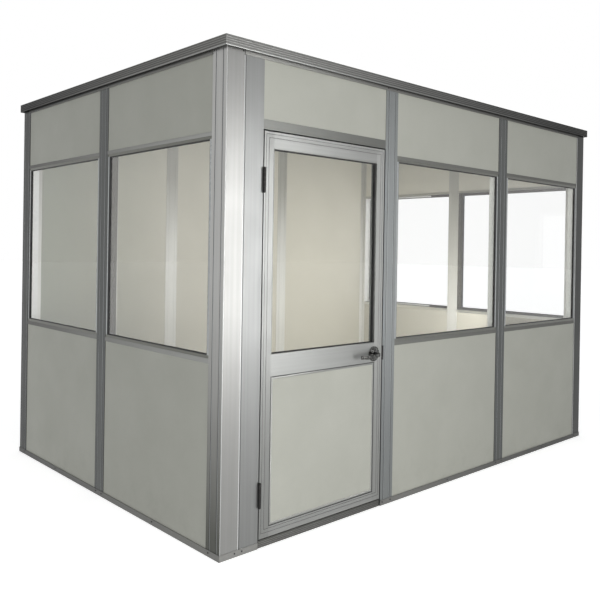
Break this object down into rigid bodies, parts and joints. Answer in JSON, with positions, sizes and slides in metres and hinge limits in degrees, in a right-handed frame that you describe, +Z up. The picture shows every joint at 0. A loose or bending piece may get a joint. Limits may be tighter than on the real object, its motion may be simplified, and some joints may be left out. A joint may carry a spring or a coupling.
{
  "type": "modular in-plant office",
  "caption": "Prefabricated panel office in an aluminium post frame, with a glazed swing door, windows on three sides and a ribbed roof deck.",
  "frame": {"origin": "on the floor, at the middle of the walls' footprint", "axes": "+X along the front wall from the door to the far end, +Y from the front wall to the back wall, +Z up"},
  "size_m": [3.697, 2.5185, 2.513],
  "materials": {
    "satin_aluminium": "satin anodised extrusion",
    "door_aluminium": "satin anodised extrusion, a little lighter",
    "wall_panel": "vinyl-faced board, light warm grey",
    "door_panel": "vinyl-faced board, light warm grey",
    "clear_glass": "clear float glass",
    "black_gasket": "black glazing rubber",
    "dark_steel": "dark bronze finish",
    "satin_nickel": "satin nickel plating",
    "deck_steel": "galvanised sheet"
  },
  "bodies": {
    "office": {"back_wall_panels": "wall_panel", "back_wall_posts": "satin_aluminium", "base_track_back": "satin_aluminium", "base_track_front": "satin_aluminium", "base_track_left": "satin_aluminium", "base_track_right": "satin_aluminium", "corner_post_back_left": "satin_aluminium", "corner_post_back_right": "satin_aluminium", "corner_post_front_left": "satin_aluminium", "corner_post_front_right": "satin_aluminium", "cornice_back": "satin_aluminium", "cornice_front": "satin_aluminium", "cornice_left": "satin_aluminium", "cornice_right": "satin_aluminium", "door_head": "satin_aluminium", "door_hinge_jamb": "satin_aluminium", "door_latch_jamb": "satin_aluminium", "door_threshold": "satin_aluminium", "door_transom_panel": "wall_panel", "frame_hinge_leaves": "dark_steel", "front_glazing_stops": "satin_aluminium", "front_post": "satin_aluminium", "front_wall_panels": "wall_panel", "front_window_frames": "satin_aluminium", "front_window_glass": "clear_glass", "latch_post": "satin_aluminium", "left_glazing_stops": "satin_aluminium", "left_wall_panels": "wall_panel", "left_wall_post": "satin_aluminium", "left_window_frames": "satin_aluminium", "left_window_glass": "clear_glass", "right_glazing_stops": "satin_aluminium", "right_wall_panels": "wall_panel", "right_wall_post": "satin_aluminium", "right_window_frames": "satin_aluminium", "right_window_glass": "clear_glass", "roof_deck": "deck_steel", "strike_plate": "dark_steel", "top_track_back": "satin_aluminium", "top_track_front": "satin_aluminium", "top_track_left": "satin_aluminium", "top_track_right": "satin_aluminium"},
    "door": {"door_stiles": "door_aluminium", "door_rails": "door_aluminium", "door_lower_panel": "door_panel", "door_glass": "clear_glass", "door_glass_gaskets": "black_gasket", "door_hinge_leaves": "dark_steel", "door_lock": "satin_nickel"},
    "lever": {"door_lever": "satin_nickel"}
  },
  "joints": [
    {"name": "door_swing", "type": "hinge", "parent": "office", "child": "door", "pos_m": [-1.59, -1.227, 1.067], "axis": [0, 0, -1], "range_deg": [0, 165]},
    {"name": "lever_turn", "type": "hinge", "parent": "door", "child": "lever", "pos_m": [-0.7405, -1.197, 0.902], "axis": [0, -1, 0], "range_deg": [0, 45], "stiffness_Nm_per_rad": 1.2, "springref_deg": -20.05}
  ]
}
